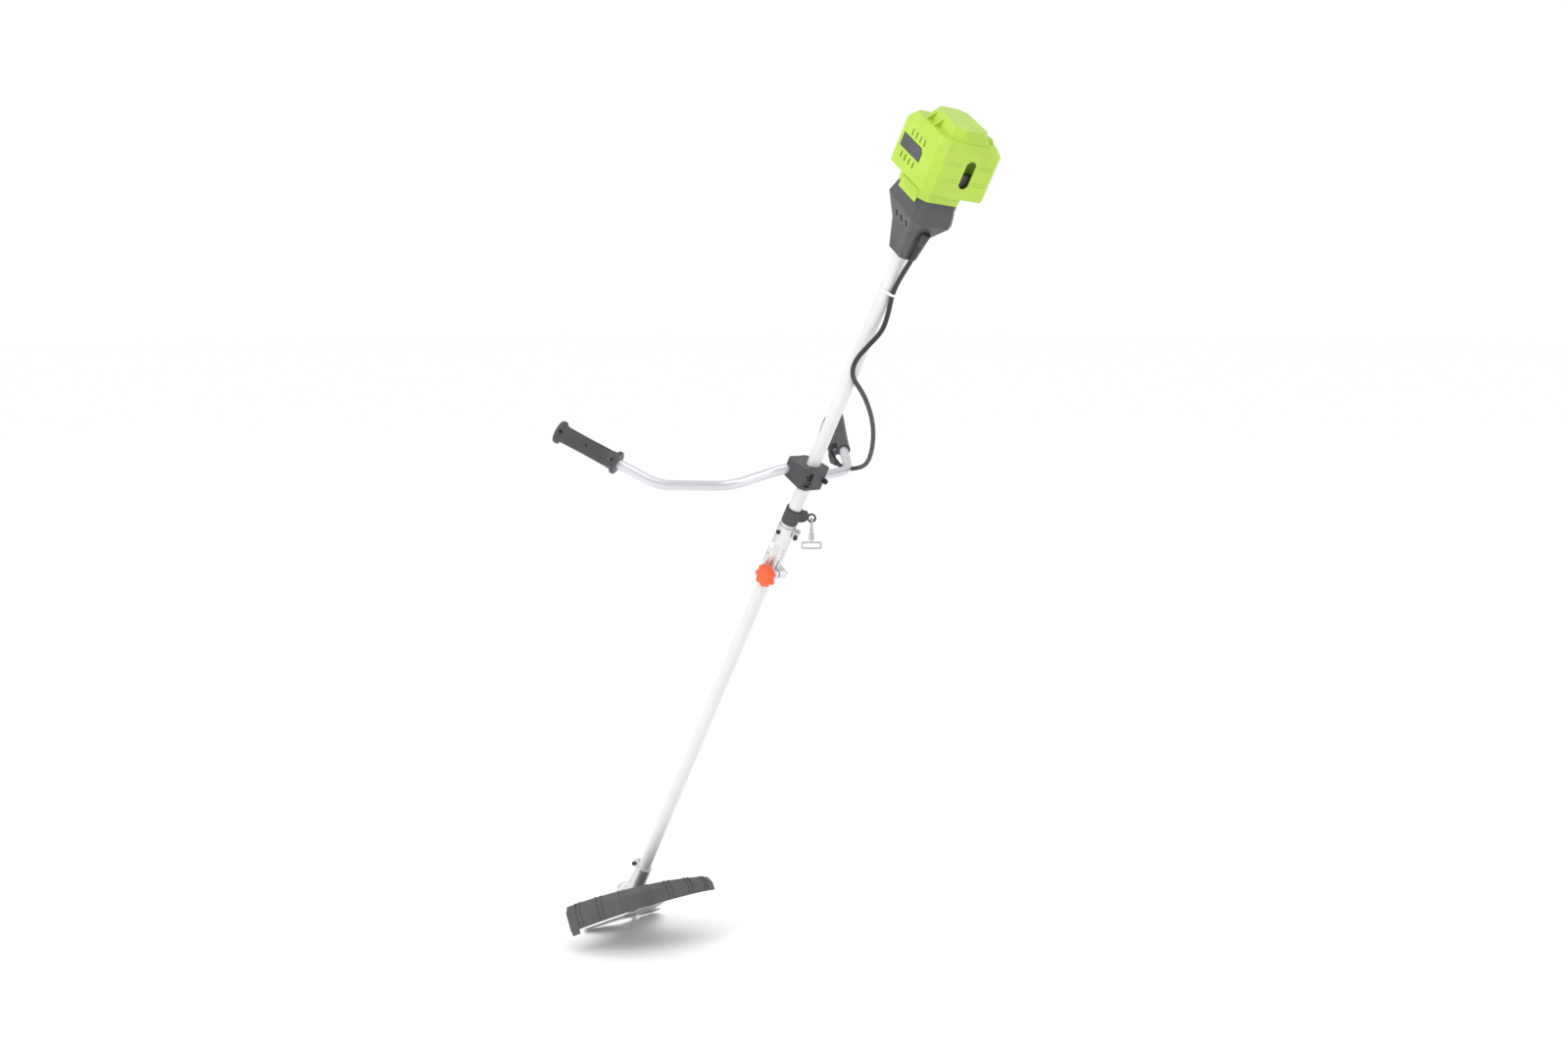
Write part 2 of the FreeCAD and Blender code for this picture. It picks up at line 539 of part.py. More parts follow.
def left_grip():
    grooves = []
    band = box((-12, -30, 0), (12, 30, GRIP_LENGTH))
    for i in range(22):
        z = 24 + 4 * i
        grooves.append(pipe(GRIP_R + 2, GRIP_R - 1.4, (0, 0, z), (0, 0, z + 1.6)).cut(band))
    body = cut(revolve(grip_profile()), *grooves)
    front = body.common(box((-40, 0.1, -5), (40, 40, GRIP_LENGTH + 5)))
    rear = body.common(box((-40, -40, -5), (40, -0.1, GRIP_LENGTH + 5)))
    wells = []
    screws = []
    seat = GRIP_R - 5.2
    for z in (10, GRIP_LENGTH / 2, GRIP_LENGTH - 10):
        wells.append(rod(3.0, (0, seat, z), (0, 40, z)))
        head = rod(2.9, (0, seat, z), (0, seat + 2.2, z))
        screws.append(head.cut(rod(1.4, (0, seat + 1, z), (0, seat + 3, z))))
    export("left_grip_front", LEFT_GRIP, cut(front, *wells))
    export("left_grip_rear", LEFT_GRIP, rear)
    export("left_grip_screws", LEFT_GRIP, *screws)


# ---------------------------------------------------------------- control handle

def handle_form():
    barrel = revolve([(0, 0), (HANDLE_R0, 0), (HANDLE_R0 + 0.4, 30), (15, 70), (HANDLE_R1 - 0.5, 108),
                      (HANDLE_R1, GRIP_LENGTH - 4), (HANDLE_R1 - 3, GRIP_LENGTH), (0, GRIP_LENGTH)])
    lobe = loft([(chamfered(-4, LOBE_OUT - 4, -19, 11, 5), LOBE_Z0),
                 (chamfered(-4, LOBE_OUT, -19, 11, 5), LOBE_Z0 + 12),
                 (chamfered(-4, LOBE_OUT - 9, -12, 10, 5), LOBE_Z1)])
    horn = loft([(chamfered(0, 19, -10, 10, 4), 104), (chamfered(0, 27, -10, 10, 4), 112),
                 (chamfered(0, 26, -10, 10, 4), 126), (chamfered(0, 18, -9, 9, 4), GRIP_LENGTH - 3)])
    return fuse(barrel, lobe, horn)


def lever_outline():
    """Side view of the throttle lever in (x, z): outer curve out, then the inner curve back."""
    outer = [(22, 126), (27, 124), (36, 100), (43, 76), (46.5, 52), (45.5, 34), (42, 27)]
    inner = [(38, 27), (40, 36), (41, 52), (38, 74), (31, 96), (23, 110), (16, 116), (16, 124)]
    return outer + inner


def throttle_lever():
    outline = lever_outline()
    face = Part.Face(polygon([(x, -LEVER_HALF, z) for x, z in outline]))
    blade = face.extrude(vec(0, 2 * LEVER_HALF, 0))
    x, z = LEVER_PIVOT_X, LEVER_PIVOT_Z
    hub = rod(4.4, (x, -LEVER_HALF, z), (x, LEVER_HALF, z))
    bore = rod(1.5 + RUNNING, (x, -20, z), (x, 20, z))
    export("throttle_lever", HANDLE, cut(fuse(blade, hub), bore))
    export("lever_pin", HANDLE, rod(1.5, (x, -8.8, z), (x, 8.8, z)))


def handle_shells():
    x, z = LEVER_PIVOT_X, LEVER_PIVOT_Z
    play = LEVER_HALF + 0.5
    rooms = [rod(BAR_R, (0, 0, -5), (0, 0, GRIP_LENGTH - 2)),
             box((12, -play, 108), (40, play, 131)),
             box((25.5, -play, 22), (45, play, 60)),
             box((13, -14, 17), (24.5, 6, 33)),
             rod(1.5, (x, -9, z), (x, 9, z)),
             rod(5.0 + RUNNING, (LOCK_X, -30, LOCK_Z), (LOCK_X, -12, LOCK_Z)),
             rod(5.0 + RUNNING, (0, -30, POWER_Z), (0, -10.5, POWER_Z)),
             rod(6.5, (BOOT_X, BOOT_Y, LOBE_Z0 - 1), (BOOT_X, BOOT_Y, LOBE_Z0 + 5))]
    body = cut(handle_form(), *rooms)
    front = body.common(box((-60, -60, -5), (60, -0.1, 160)))
    rear = body.common(box((-60, 0.1, -5), (60, 60, 160)))
    export("handle_shell_front", HANDLE, max(front.Solids, key=volume))
    export("handle_shell_rear", HANDLE, max(rear.Solids, key=volume))


def handle_buttons():
    lock = fuse(rod(5.0, (LOCK_X, -26, LOCK_Z), (LOCK_X, -17.6, LOCK_Z)),
                cone(4.0, 5.0, (LOCK_X, -27.5, LOCK_Z), (LOCK_X, -26, LOCK_Z)))
    export("lock_off_button", HANDLE, lock)
    power = fuse(rod(5.0, (0, -17.5, POWER_Z), (0, -13.2, POWER_Z)),
                 cone(4.0, 5.0, (0, -18.5, POWER_Z), (0, -17.5, POWER_Z)))
    export("power_button", HANDLE, power)
    export("throttle_switch", HANDLE, box((14, -12, 18), (23.5, -0.6, 32)))


def handle_collar():
    ring = pipe(HANDLE_R0 + 0.4, BAR_R, (0, 0, -9), (0, 0, -0.2))
    lug = box((10, -5, -9), (22, 5, -0.2)).cut(rod(BAR_R, (0, 0, -10), (0, 0, 1)))
    hole = rod(1.6, (17.5, -8, -4.6), (17.5, 8, -4.6))
    export("handle_collar", HANDLE, fuse(ring, lug).cut(hole))
    export("collar_screw", HANDLE, cap_screw((17.5, -5, -4.6), (0, 1, 0), 12, 1.6))


def cable_boot():
    """Strain relief from the handle's lobe down to the cable's end, widening upwards."""
    end = vec(*CABLE_ROUTE[-1])
    d = (end - vec(*CABLE_ROUTE[-2])).normalize()
    bend = end + d * 14.0
    root = HANDLE.multVec(vec(BOOT_X, BOOT_Y, LOBE_Z0 + 4))
    body = fuse(cone(6.2, 8.0, tuple(end), tuple(bend)), Part.makeSphere(8.0, bend),
                cone(8.0, 6.5, tuple(bend), tuple(root)))
    neighbours = []
    for name in ("handle_shell_front", "handle_shell_rear", "handle_collar", "collar_screw", "handlebar"):
        neighbours.extend(NODES[name])
    NODES["cable_boot"] = [max(cut(body, *neighbours).Solids, key=volume)]


def cable_radii():
    corners = [vec(*p) for p in CABLE_ROUTE]
    radii = []
    for i in range(1, len(corners) - 1):
        back = corners[i - 1] - corners[i]
        ahead = corners[i + 1] - corners[i]
        half_turn = (math.pi - back.getAngle(ahead)) / 2
        radii.append(0.45 * min(back.Length, ahead.Length) / math.tan(half_turn))
    return radii


def control_cable():
    radii = cable_radii()
    path = tangent_path(CABLE_ROUTE, radii)
    cable = sweep(path, CABLE_R)
    section = math.pi * CABLE_R ** 2
    print("cable radii", [round(r) for r in radii])
    print("cable length", round(path.Length, 1), "volume / (section x length)",
          round(cable.Volume / (section * path.Length), 4))
    export("control_cable", TOOL, cable)


def cable_tie():
    x, y, z = CABLE_ROUTE[TIE_POINT]
    reach = math.hypot(x, y)
    local = frame((0, 0, z), (0, 0, 1), (x, y, 0))
    z0, z1 = -2.4, 2.4
    r = TUBE_R + 1.3
    around_both = fuse(rod(r, (0, 0, z0), (0, 0, z1)), rod(CABLE_R + 1.6, (reach, 0, z0), (reach, 0, z1)),
                       prism([(0, -r), (reach, -CABLE_R - 1.6), (reach, CABLE_R + 1.6), (0, r)], z0, z1))
    hollow = fuse(rod(TUBE_R + 0.05, (0, 0, z0 - 1), (0, 0, z1 + 1)),
                  rod(CABLE_R + 0.5, (reach, 0, z0 - 1), (reach, 0, z1 + 1)),
                  prism([(0, -TUBE_R), (reach, -CABLE_R), (reach, CABLE_R), (0, TUBE_R)], z0 - 1, z1 + 1))
    lock = box((-4, r - 0.6, z0 - 0.8), (3, r + 4, z1 + 0.8))
    export("cable_tie", local, fuse(around_both.cut(hollow), lock))


# ---------------------------------------------------------------- harness clamp and hook

def harness_clamp():
    """Split clamp whose arm ends in an upright ring that the hook hangs in."""
    away = turned(-18.0)
    band = rod(HARNESS_R, (0, 0, HARNESS_Z0 + 2), (0, 0, HARNESS_Z1 - 2))
    lip = rod(HARNESS_R - 0.8, (0, 0, HARNESS_Z0), (0, 0, HARNESS_Z1))
    plate_end = EYELET_REACH - 8.0
    side = [(8, -88), (26, -88), (plate_end, -93), (plate_end, -105), (26, -111), (8, -116)]
    arm = prism_y(side, -3.5, 3.5)
    hang = ARM.inverse().multiply(hanging())
    ring = placed(rod(9.0, (-2.8, 0, 0), (2.8, 0, 0)), hang)
    ear = placed(box((-7, 12, -114), (7, 28, -93)), away)
    split = placed(box((-1.0, 8, -140), (1.0, 40, -70)), away)
    eye = placed(rod(5.5, (-12, 0, 0), (12, 0, 0)), hang)
    bore = rod(TUBE_R, (0, 0, -140), (0, 0, -70))
    hole = placed(rod(2.5, (-20, 22, -104), (20, 22, -104)), away)
    export("harness_clamp", ARM, cut(fuse(band, lip, arm, ring, ear), split, eye, bore, hole))
    return placed(cap_screw((-7, 22, -104), (1, 0, 0), CAP_SCREW_LENGTH), ARM.multiply(away))


def hanging():
    """Frame at the eyelet with Z up, whose X lies in the hook's plane."""
    flat = ARM.Rotation.multVec(vec(0, 1, 0))
    return frame(tuple(EYELET), tuple(DOWN * -1), tuple(flat))


def carrier_hook():
    """Steel snap hook through the eyelet, on a post that the swivel turns about."""
    r = HOOK_SPAN / 2
    centre = HOOK_TOP - r
    side = rod(HOOK_WIRE, (-r, 0, centre), (-r, 0, HOOK_BASE + 4))
    arc = Part.makeTorus(r, HOOK_WIRE, vec(0, 0, centre), vec(0, 1, 0)).common(
        box((-20, -10, centre), (20, 10, 30)))
    tip = rod(HOOK_WIRE, (r, 0, centre), (r, 0, HOOK_TIP))
    base = prism(chamfered(-r - 2.2, r + 2.2, -2.6, 2.6, 1.0), HOOK_BASE, HOOK_BASE + 4.5)
    post = rod(3.2, (0, 0, HOOK_BASE - 4), (0, 0, HOOK_BASE + 0.5))
    rivet_slot = box((r - 2.6, -1.4, HOOK_BASE + 2), (r + 2.6, 1.4, HOOK_BASE + 6))
    pivot = rod(0.9, (r, -2.6, GATE_Z), (r, 2.6, GATE_Z))
    cheeks = []
    for y in (-2.6, 1.8):
        cheeks.append(prism(chamfered(r - 2, r + 2, y, y + 0.8, 0.2), HOOK_BASE + 4, GATE_Z + 2))
    hook = fuse(side, arc, tip, base, post, *cheeks).cut(rivet_slot)
    export("carrier_hook", hanging(), fuse(hook, pivot))


def hook_gate():
    r = HOOK_SPAN / 2
    heel = box((r - 1.6, -1.2, GATE_Z - 1.4), (r + 1.6, 1.2, GATE_Z + 2))
    gate = fuse(rod(1.3, (r, 0, GATE_Z + 1), (r, 0, HOOK_TIP - 0.3)), heel)
    export("hook_gate", hanging(), gate.cut(rod(0.9 + RUNNING, (r, -5, GATE_Z), (r, 5, GATE_Z))))


def strap_swivel():
    """Cup that turns on the hook's post, with the flat loop that takes the strap."""
    low = HOOK_BASE - 4.0
    top = low - 14.0
    cup = cone(4.4, 5.6, (0, 0, low + 2.5), (0, 0, low - 10))
    bore = rod(3.2 + RUNNING, (0, 0, low - 0.3), (0, 0, low + 3))
    neck = rod(2.4, (0, 0, top), (0, 0, low - 9))
    outline = chamfered(-LOOP_HALF, LOOP_HALF, top - LOOP_HEIGHT, top, 2.5)
    hole = chamfered(-LOOP_HALF + LOOP_BAR, LOOP_HALF - LOOP_BAR, top - LOOP_HEIGHT + LOOP_BAR,
                     top - LOOP_BAR, 1.5)
    loop = prism_y(outline, -1.9, 1.9).cut(prism_y(hole, -3, 3))
    export("strap_swivel", hanging().multiply(turned(LOOP_TURN)), fuse(cup.cut(bore), neck, loop))


# ---------------------------------------------------------------- shaft coupler

def coupler():
    barrel = rod(17.5, (0, 0, COUPLER_Z0 + 10), (0, 0, COUPLER_Z1))
    tail = rod(16.0, (0, 0, COUPLER_Z0), (0, 0, COUPLER_Z0 + 12))
    corner = turned(-45.0)
    top_lug = placed(box((10, -9, -151), (28, 9, -133)), corner)
    top_slit = placed(box((8, -1.2, -168), (40, 1.2, -120)), corner)
    top_hole = placed(rod(2.5, (22, -12, -142), (22, 14, -142)), corner)
    lug_parts = []
    for x0, x1 in ((-2.0, 16.0), (-16.0, -4.4)):
        lug_parts.append(rod(9, (x0, KNOB_Y, KNOB_Z), (x1, KNOB_Y, KNOB_Z)))
        lug_parts.append(box((x0, KNOB_Y, KNOB_Z - 9), (x1, -6, KNOB_Z + 9)))
    boss = loft([(chamfered(-23, -8, -8, 8, 3), -214), (chamfered(-23, -8, -8, 8, 3), -178),
                 (chamfered(-18, -8, -7, 7, 3), -168)])
    ribs = [box((-2.0, -19.0, z), (2.0, -15, z + 3)) for z in (-196, -188, -180)]
    tools = [rod(TUBE_R, (0, 0, -300), (0, 0, -100)), top_slit, top_hole,
             box((-4.4, -40, -262), (-2.0, -5, -200)),
             rod(3.0 + RUNNING, (-45, 0, PIN_Z), (-10, 0, PIN_Z)),
             rod(3.0 + RUNNING, (-20, KNOB_Y, KNOB_Z), (20, KNOB_Y, KNOB_Z)),
             rod(4.5, (-30, 0, LOCATING_SCREW_Z), (-15.5, 0, LOCATING_SCREW_Z)),
             rod(2.5, (-30, 0, LOCATING_SCREW_Z), (-10, 0, LOCATING_SCREW_Z))]
    export("coupler_body", TOOL, cut(fuse(barrel, tail, top_lug, boss, *lug_parts, *ribs), *tools))
    export("locating_screw", TOOL, cap_screw((-15.5, 0, LOCATING_SCREW_Z), (1, 0, 0), 3.5))
    return placed(cap_screw((22, -9, -142), (0, 1, 0), CAP_SCREW_LENGTH), corner)


def release_pin():
    """Snap button on a leaf spring inside the lower tube, standing out through the coupler."""
    stem = rod(3.0, (-24.4, 0, PIN_Z), (-9.6, 0, PIN_Z))
    nose = cone(2.0, 3.0, (-25.6, 0, PIN_Z), (-24.4, 0, PIN_Z))
    collar = rod(3.8, (-10.5, 0, PIN_Z), (-9.6, 0, PIN_Z))
    export("release_pin", TOOL, fuse(stem, nose, collar))
    reach, feet = 20.0, -10.8
    upper_half = [(-9.6, 8.0), (feet, reach), (feet + 0.9, reach + 0.4), (-8.7, 8.5)]
    lower_half = [(x, -z) for x, z in reversed(upper_half)]
    leaf = [(x, PIN_Z + z) for x, z in upper_half + lower_half]
    export("pin_spring", TOOL, prism_y(leaf, -2.5, 2.5))


def lobed(radius, depth, count):
    """Outline whose radius swells and shrinks count times round."""
    points = []
    for i in range(10 * count):
        angle = 2 * math.pi * i / (10 * count)
        r = radius + depth * math.cos(count * angle)
        points.append((r * math.cos(angle), r * math.sin(angle)))
    return points


def coupler_knob():
    """Seven-lobed knob on a stud, in a frame whose Z is the stud's axis."""
    local = frame((-16.4, KNOB_Y, KNOB_Z), (-1, 0, 0), (0, 0, 1))
    low, high = 7.9, 24.0
    disc = loft([(lobed(21.2, 2.6, 7), low), (lobed(19.6, 2.4, 7), high)])
    hub = cone(9.0, 11.0, (0, 0, 0.4), (0, 0, low + 0.5))
    crown = cone(16.4, 14.0, (0, 0, high - 0.5), (0, 0, high + 1.6))
    stud = rod(3.0, (0, 0, -40.0), (0, 0, 1.0))
    export("coupler_knob", local, disc.multiFuse([hub, crown, stud]))


# ---------------------------------------------------------------- gear head

SHAFT_ANGLE = math.pi / 2 - TILT
OUTPUT_CONE = math.atan(math.sin(SHAFT_ANGLE) / (PINION_TEETH / OUTPUT_TEETH + math.cos(SHAFT_ANGLE)))
PINION_CONE = SHAFT_ANGLE - OUTPUT_CONE
CONE_LENGTH = 0.5 * GEAR_MODULE * OUTPUT_TEETH / math.sin(OUTPUT_CONE)
PINION_BACK = CONE_LENGTH * math.cos(PINION_CONE)


def bevel_outline(teeth, cone_angle, z, phase):
    """Toothed outline in the plane at height z above the cones' common tip."""
    tip = z * math.tan(cone_angle + 0.72 * GEAR_MODULE / CONE_LENGTH)
    root = z * math.tan(cone_angle - 1.05 * GEAR_MODULE / CONE_LENGTH)
    pitch = 2 * math.pi / teeth
    points = []
    for i in range(teeth):
        middle = phase + i * pitch
        for radius, share in ((root, -0.30), (tip, -0.11), (tip, 0.11), (root, 0.30)):
            angle = middle + share * pitch
            points.append((radius * math.cos(angle), radius * math.sin(angle)))
    return points


def bevel_gear(teeth, cone_angle, phase):
    back = CONE_LENGTH * math.cos(cone_angle)
    front = back * (CONE_LENGTH - GEAR_FACE) / CONE_LENGTH
    return loft([(bevel_outline(teeth, cone_angle, front, phase), front),
                 (bevel_outline(teeth, cone_angle, back, phase), back)]), back


PINION = frame((0, 0, GEAR_CENTRE_Z), (0, 0, 1), (1, 0, 0))   # Z up the shaft
ON_SHAFT = GEAR.inverse().multiply(PINION)                     # the same, seen from the gear frame


def gears():
    """Both gears are in mesh at rest: a pinion tooth stands in a space of the output gear."""
    body, back = bevel_gear(PINION_TEETH, PINION_CONE, math.pi / 2)
    pinion = fuse(body, rod(7.0, (0, 0, back - 0.1), (0, 0, back + 3.4)))
    export("pinion_gear", PINION, pinion.cut(rod(SHAFT_R, (0, 0, back + 1.0), (0, 0, 90))))
    half_tooth = math.pi / OUTPUT_TEETH
    body, back = bevel_gear(OUTPUT_TEETH, OUTPUT_CONE, half_tooth - math.pi / 2)
    hub = rod(9.0, (0, 0, back - 0.1), (0, 0, back + 3.0))
    export("output_gear", GEAR, fuse(body, hub).cut(rod(SPINDLE_R, (0, 0, 0), (0, 0, 60))))


def gear_bearings():
    rings = []
    for a, b in SPINDLE_BEARINGS:
        rings.append(pipe(SPINDLE_BEARING_R, SPINDLE_R + RUNNING, (0, 0, a), (0, 0, b)))
    for a, b in PINION_BEARINGS:
        rings.append(pipe(BEARING_R, SHAFT_R + RUNNING, tuple(GEAR_SHAFT * a), tuple(GEAR_SHAFT * b)))
    export("gear_bearings", GEAR, *rings)


def gear_case():
    """Cast case: a barrel round the spindle and a split sleeve round the lower tube."""
    s = GEAR_SHAFT
    barrel = fuse(rod(22.0, (0, 0, -16), (0, 0, 34)), cone_stack([(22.0, 34.0), (20.0, 38.0), (14.0, 41.5)]))
    elbow = rod(19.5, (0, 0, 0), tuple(s * 52))
    throat = cone(22.5, 17.5, tuple(s * 8), tuple(s * 58))
    sleeve = rod(17.0, tuple(s * 50), tuple(s * 104))
    ears = placed(box((-9, 8, 88), (9, 29, 103)), ON_SHAFT)
    rib = placed(box((-2.5, 12, 40), (2.5, 24, 60)), ON_SHAFT)
    plug_boss = rod(6.5, (15, 0, 22), (23.5, 0, 22))
    rooms = [rod(18.6, (0, 0, 15.0), (0, 0, 27.5)),
             rod(14.6, tuple(s * 15.5), tuple(s * 30.0)),
             rod(SPINDLE_BEARING_R, (0, 0, -16.1), (0, 0, -7)),
             rod(SPINDLE_BEARING_R, (0, 0, 27.4), (0, 0, 36.5)),
             rod(8.0, (0, 0, -8), (0, 0, 20)),
             rod(BEARING_R, tuple(s * 29), tuple(s * 46)),
             rod(TUBE_R, tuple(s * 46), tuple(s * 110)),
             placed(box((-1.2, 8, 62), (1.2, 40, 106)), ON_SHAFT),
             placed(rod(2.5, (-20, 22, 95.5), (20, 22, 95.5)), ON_SHAFT)]
    body = cut(fuse(barrel, elbow, throat, sleeve, ears, rib, plug_boss), *rooms)
    export("gear_case", GEAR, max(body.Solids, key=volume))
    screw = cap_screw((-9, 22, 95.5), (1, 0, 0), CAP_SCREW_LENGTH)
    return placed(screw, PINION)


def cone_stack(sections):
    """Stack of cones through (radius, z) pairs."""
    pieces = []
    for (r0, z0), (r1, z1) in zip(sections, sections[1:]):
        pieces.append(cone(r0, r1, (0, 0, z0), (0, 0, z1)))
    return fuse(*pieces)


def cutter():
    top = SPINDLE_BEARINGS[0][1] + 0.6
    bore = rod(SPINDLE_R, (0, 0, -60), (0, 0, 0))
    spindle = fuse(rod(SPINDLE_R, (0, 0, -46), (0, 0, top)), rod(6.5, (0, 0, -6.8), (0, 0, 13.0)))
    thread = [pipe(6, 4.6, (0, 0, z), (0, 0, z + 0.6)) for z in (-45, -43.8)]
    export("spindle", GEAR, cut(spindle, *thread))
    flange = fuse(rod(25.0, (0, 0, BLADE_Z + BLADE_T), (0, 0, -26.5)), rod(12.0, (0, 0, -26.6), (0, 0, -21)),
                  rod(10.0, (0, 0, -21.1), (0, 0, -16.5)))
    export("upper_flange", GEAR, flange.cut(bore))
    export("cutting_blade", GEAR, blade_shape())
    export("lower_flange", GEAR, cone_stack([(21.0, BLADE_Z - 2.0), (23.0, BLADE_Z)]).cut(bore))
    flats = 9.5
    corners = [math.radians(60 * i) for i in range(6)]
    outline = [(flats * math.cos(a), flats * math.sin(a)) for a in corners]
    nut = fuse(prism(outline, -43.0, BLADE_Z - 2.0), rod(11.0, (0, 0, BLADE_Z - 4), (0, 0, BLADE_Z - 2.0)))
    export("blade_nut", GEAR, nut.cut(bore))


def blade_shape():
    """Flat blade with three hooked teeth."""
    points = []
    for i in range(BLADE_TEETH):
        tip = BLADE_FIRST_TOOTH + 120.0 * i
        for radius, offset in ((46, -44), (74, -22), (104, -8), (BLADE_R, 0), (112, 7), (88, 17),
                               (66, 32), (50, 52)):
            angle = math.radians(tip + offset)
            points.append((radius * math.cos(angle), radius * math.sin(angle)))
    blade = prism(points, BLADE_Z, BLADE_Z + BLADE_T)
    holes = [rod(SPINDLE_R, (0, 0, -60), (0, 0, 0))]
    for i in range(3):
        angle = math.radians(BLADE_FIRST_TOOTH + 60 + 120.0 * i)
        x, y = 33 * math.cos(angle), 33 * math.sin(angle)
        holes.append(rod(4.0, (x, y, -60), (x, y, 0)))
    return cut(blade, *holes)


# ---------------------------------------------------------------- guard

def sector(radius_in, radius_out, start, end, z0, z1):
    """Part of a ring; angles run from straight back (-Y) towards +X."""
    outline = [(radius_in, z0), (radius_out, z0), (radius_out, z1), (radius_in, z1)]
    return revolve(outline, end - start, start - 90.0)


def deck_cutter(offset):
    """Half-space above the guard's sloping deck."""
    x = 260.0
    return prism_y([(-x, GUARD_SLOPE * x + offset), (x, -GUARD_SLOPE * x + offset), (x, 120), (-x, 120)],
                   -300, 300)


def guard_form(inset, start, end):
    form = sector(30.0, GUARD_R - inset, start, end, GUARD_RIM_Z - (1 if inset else 0), 60.0)
    form = form.cut(deck_cutter(-inset))
    edges = []
    for edge in form.Edges:
        points = [edge.valueAt(edge.FirstParameter + t * (edge.LastParameter - edge.FirstParameter))
                  for t in (0, 0.5, 1)]
        if all(abs(math.hypot(p.x, p.y) - (GUARD_R - inset)) < 0.5 and p.z > -30 for p in points):
            if abs(math.atan2(points[0].x, -points[0].y) - math.atan2(points[2].x, -points[2].y)) > 0.5:
                edges.append(edge)
    return form.makeChamfer(14.0, 8.0, edges) if edges else form


def guard_shell():
    """Deck and skirt, open at both ends but for a gusset beside the skirt, and a foot."""
    shell = guard_form(0, GUARD_START, GUARD_END)
    shell = shell.cut(guard_form(GUARD_WALL, GUARD_START - 2.0, GUARD_END + 2.0))
    shell = shell.cut(rod(40.0, (0, 0, -60), (0, 0, 60)))
    core = guard_form(0.6, GUARD_START + 0.1, GUARD_END - 0.1)
    edge, rim = GUARD_R - 1.0, GUARD_RIM_Z + 1.0
    gusset = [(150.0, 30.0), (edge, 30.0), (edge, rim), (edge - 7.0, rim)]
    ends = []
    for angle in (GUARD_START + 0.3, GUARD_END - 1.3):
        ends.append(revolve(gusset, 1.0, angle - 90.0).common(core))
    foot = sector(GUARD_R - 4.5, GUARD_R - 0.5, GUARD_START + 0.5, GUARD_START + 6.0, rim - 10.0, rim + 1.0)
    return shell.multiFuse(ends + [foot])


def guard():
    pad = prism(chamfered(-24, 24, -80, -36, 6), PAD_Z, PAD_Z + 4.0)
    under_deck = deck_cutter(-1.0)
    webs = []
    for x in (-22.5, 22.5):
        web = prism(chamfered(x - 1.5, x + 1.5, -150, -70, 0.5), PAD_Z, 8.0)
        webs.append(web.cut(under_deck))
    post = prism(chamfered(-24, 24, -84, -76, 2), PAD_Z, 4.0).cut(under_deck)
    rooms = [rod(24.5, (0, 0, -60), (0, 0, 60)), rod(21.5, (0, 0, 0), tuple(GEAR_SHAFT * 140))]
    holes = [rod(2.5, (x, -62, -60), (x, -62, 60)) for x in (-16, 16)]
    body = guard_shell().multiFuse([pad, post] + webs).multiFuse(guard_ribs())
    export("guard", GEAR, max(cut(body, *rooms, *holes).Solids, key=volume))
    underside = PAD_Z - 3.0
    tongue = prism(chamfered(-22, 22, -76, 24, 8), underside, PAD_Z)
    plate = fuse(tongue, rod(30, (0, 0, underside), (0, 0, PAD_Z)))
    export("guard_bracket", GEAR, cut(plate, rod(14.0, (0, 0, -60), (0, 0, 60)), *holes))
    screws = [cap_screw((x, -62, PAD_Z + 4.0), (0, 0, -1), CAP_SCREW_LENGTH) for x in (-16, 16)]
    return [placed(screw, GEAR) for screw in screws]


def guard_ribs():
    """Pairs of raised ribs up the skirt and over its chamfered shoulder."""
    ribs = []
    shell_zone = guard_form(-1.2, GUARD_START, GUARD_END)
    core = guard_form(0.4, GUARD_START - 2, GUARD_END + 2)
    count = 7
    for i in range(count):
        middle = GUARD_START + 9.0 + (GUARD_END - GUARD_START - 18.0) * i / (count - 1)
        for offset in (-1.6, 1.6):
            wedge = sector(170.0, 210.0, middle + offset - 0.4, middle + offset + 0.4,
                           GUARD_RIM_Z + 3.0, 40.0)
            ribs.append(wedge.common(shell_zone).cut(core))
    return ribs


# ---------------------------------------------------------------- build

def build():
    tubes()
    drive_line()
    battery_hood()
    bay_tray()
    terminal_block()
    motor_housing()
    motor()
    motor_end_plates()
    control_board()
    cable_gland()
    handlebar()
    handlebar_clamp()
    left_grip()
    handle_shells()
    throttle_lever()
    handle_buttons()
    handle_collar()
    cable_boot()
    control_cable()
    cable_tie()
    carrier_hook()
    hook_gate()
    strap_swivel()
    cap_screws = [harness_clamp(), coupler(), gear_case()]
    cap_screws.extend(guard())
    export("cap_screws", TOOL, *cap_screws)
    release_pin()
    coupler_knob()
    gears()
    gear_bearings()
    cutter()


def write_step(name, solids):
    standing = [placed(solid, STANCE) for solid in solids]
    shape = standing[0] if len(standing) == 1 else Part.makeCompound(standing)
    shape.exportStep("parts/%s.step" % name)
    print(name, len(standing), "valid" if all(s.isValid() for s in standing) else "INVALID",
          round(sum(s.Volume for s in standing) / 1000.0, 2))


build()
for node, node_solids in NODES.items():
    write_step(node, node_solids)
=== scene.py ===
"""Looks of the cordless brush cutter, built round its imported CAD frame. Lengths are in metres."""
import json
import math
import bmesh
import bpy
from mathutils import Matrix, Vector


